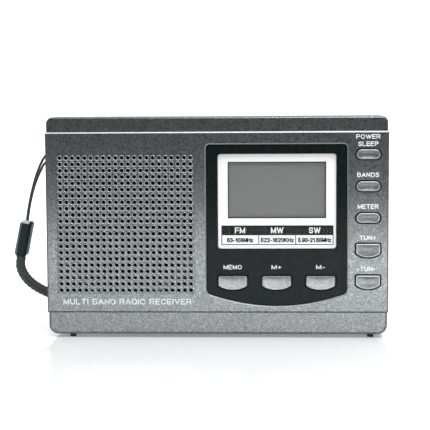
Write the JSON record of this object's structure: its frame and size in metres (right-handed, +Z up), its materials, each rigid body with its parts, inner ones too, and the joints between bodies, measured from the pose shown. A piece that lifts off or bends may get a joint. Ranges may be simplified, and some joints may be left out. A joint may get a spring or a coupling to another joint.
{
  "type": "shortwave receiver",
  "caption": "Pocket multiband radio in metallic grey: square perforated speaker panel, black display bezel, rows of keys, side volume wheel, stowed antenna and wrist strap.",
  "frame": {"origin": "on the surface the receiver stands on, under the middle of the case", "axes": "+X to the right as the dial is read, -Y out of the front face, +Z up"},
  "size_m": [0.1376, 0.0527, 0.078],
  "materials": {
    "case_paint": "metallic grey paint, satin, fine sparkle",
    "bezel_black": "semi-gloss near-black moulding",
    "window_clear": "clear acrylic window",
    "card_white": "white card with a printed band table",
    "display_grey": "blank liquid crystal display, grey",
    "black_rubber": "matt black rubber",
    "board_green": "green circuit board",
    "dark_plastic": "dark grey moulding",
    "silver_paint": "silver paint, satin",
    "plated_steel": "bright zinc or nickel plate",
    "cone_paper": "black paper cone",
    "ferrite_grey": "dark grey ferrite",
    "coil_copper": "enamelled copper wire",
    "cell_wrap": "plain wrapped AA cell",
    "antenna_chrome": "polished chrome tube",
    "strap_braid": "dark grey braided cord",
    "ferrule_black": "dark grey moulding with pale crimped end"
  },
  "bodies": {
    "case": {"front_shell": "case_paint", "speaker_grille": "case_paint", "rear_shell": "case_paint", "display_bezel": "bezel_black", "window_lens": "window_clear", "dial_card": "card_white", "lcd_glass": "display_grey", "lcd_connector": "black_rubber", "main_board": "board_green", "receiver_chip": "dark_plastic", "switch_power": "dark_plastic", "switch_bands": "dark_plastic", "switch_meter": "dark_plastic", "switch_tune_up": "dark_plastic", "switch_tune_down": "dark_plastic", "switch_memo": "dark_plastic", "switch_m_plus": "dark_plastic", "switch_m_minus": "dark_plastic", "speaker_basket": "plated_steel", "speaker_cone": "cone_paper", "speaker_magnet": "plated_steel", "ferrite_rod": "ferrite_grey", "ferrite_coil": "coil_copper", "battery_cell_lower": "cell_wrap", "battery_cell_upper": "cell_wrap", "battery_bridge": "plated_steel", "battery_spring": "plated_steel", "battery_plate": "plated_steel", "volume_control": "plated_steel", "earphone_socket": "dark_plastic", "supply_socket": "dark_plastic", "socket_board": "board_green", "case_screw_top_left": "plated_steel", "case_screw_top_right": "plated_steel", "case_screw_bottom_left": "plated_steel", "case_screw_bottom_middle": "plated_steel", "foot_front_left": "black_rubber", "foot_front_right": "black_rubber", "foot_rear_left": "black_rubber", "foot_rear_right": "black_rubber", "strap_cord": "strap_braid", "strap_ferrule": "ferrule_black", "strap_webbing": "strap_braid"},
    "volume_wheel": {"volume_wheel": "dark_plastic"},
    "battery_door": {"battery_door": "case_paint"},
    "kickstand": {"kickstand": "case_paint"},
    "antenna_swivel": {"antenna_swivel": "antenna_chrome"},
    "antenna_base": {"antenna_tube_1": "antenna_chrome"},
    "antenna_section_2": {"antenna_tube_2": "antenna_chrome"},
    "antenna_section_3": {"antenna_tube_3": "antenna_chrome"},
    "antenna_section_4": {"antenna_tube_4": "antenna_chrome"},
    "antenna_rod": {"antenna_tip": "antenna_chrome"},
    "key_power": {"key_power": "case_paint"},
    "key_bands": {"key_bands": "case_paint"},
    "key_meter": {"key_meter": "case_paint"},
    "key_tune_up": {"key_tune_up": "case_paint"},
    "key_tune_down": {"key_tune_down": "case_paint"},
    "key_memo": {"key_memo": "silver_paint"},
    "key_m_plus": {"key_m_plus": "silver_paint"},
    "key_m_minus": {"key_m_minus": "silver_paint"}
  },
  "joints": [
    {"name": "volume_turn", "type": "hinge", "parent": "case", "child": "volume_wheel", "pos_m": [0.052, 0, 0.0483], "axis": [0, 1, 0], "range_deg": [0, 280]},
    {"name": "battery_door_off", "type": "slide", "parent": "case", "child": "battery_door", "axis": [0, 1, 0], "range_m": [0, 0.03]},
    {"name": "kickstand_swing", "type": "hinge", "parent": "case", "child": "kickstand", "pos_m": [-0.0235, 0.0112, 0.0472], "axis": [1, 0, 0], "range_deg": [0, 45]},
    {"name": "antenna_turn", "type": "hinge", "parent": "case", "child": "antenna_swivel", "pos_m": [0.0515, 0.009, 0.0692], "axis": [0, 0, 1], "range_deg": [-180, 0]},
    {"name": "antenna_lift", "type": "hinge", "parent": "antenna_swivel", "child": "antenna_base", "pos_m": [0.0515, 0.009, 0.0731], "axis": [0, 1, 0], "range_deg": [0, 90]},
    {"name": "antenna_pull_2", "type": "slide", "parent": "antenna_base", "child": "antenna_section_2", "axis": [-1, 0, 0], "range_m": [0, 0.08]},
    {"name": "antenna_pull_3", "type": "slide", "parent": "antenna_section_2", "child": "antenna_section_3", "axis": [-1, 0, 0], "range_m": [0, 0.08]},
    {"name": "antenna_pull_4", "type": "slide", "parent": "antenna_section_3", "child": "antenna_section_4", "axis": [-1, 0, 0], "range_m": [0, 0.08]},
    {"name": "antenna_pull_rod", "type": "slide", "parent": "antenna_section_4", "child": "antenna_rod", "axis": [-1, 0, 0], "range_m": [0, 0.08]},
    {"name": "key_power_press", "type": "slide", "parent": "case", "child": "key_power", "axis": [0, 1, 0], "range_m": [0, 0.0003], "stiffness_N_per_m": 5000},
    {"name": "key_bands_press", "type": "slide", "parent": "case", "child": "key_bands", "axis": [0, 1, 0], "range_m": [0, 0.0003], "stiffness_N_per_m": 5000},
    {"name": "key_meter_press", "type": "slide", "parent": "case", "child": "key_meter", "axis": [0, 1, 0], "range_m": [0, 0.0003], "stiffness_N_per_m": 5000},
    {"name": "key_tune_up_press", "type": "slide", "parent": "case", "child": "key_tune_up", "axis": [0, 1, 0], "range_m": [0, 0.0003], "stiffness_N_per_m": 5000},
    {"name": "key_tune_down_press", "type": "slide", "parent": "case", "child": "key_tune_down", "axis": [0, 1, 0], "range_m": [0, 0.0003], "stiffness_N_per_m": 5000},
    {"name": "key_memo_press", "type": "slide", "parent": "case", "child": "key_memo", "axis": [0, 1, 0], "range_m": [0, 0.0003], "stiffness_N_per_m": 5000},
    {"name": "key_m_plus_press", "type": "slide", "parent": "case", "child": "key_m_plus", "axis": [0, 1, 0], "range_m": [0, 0.0003], "stiffness_N_per_m": 5000},
    {"name": "key_m_minus_press", "type": "slide", "parent": "case", "child": "key_m_minus", "axis": [0, 1, 0], "range_m": [0, 0.0003], "stiffness_N_per_m": 5000}
  ]
}
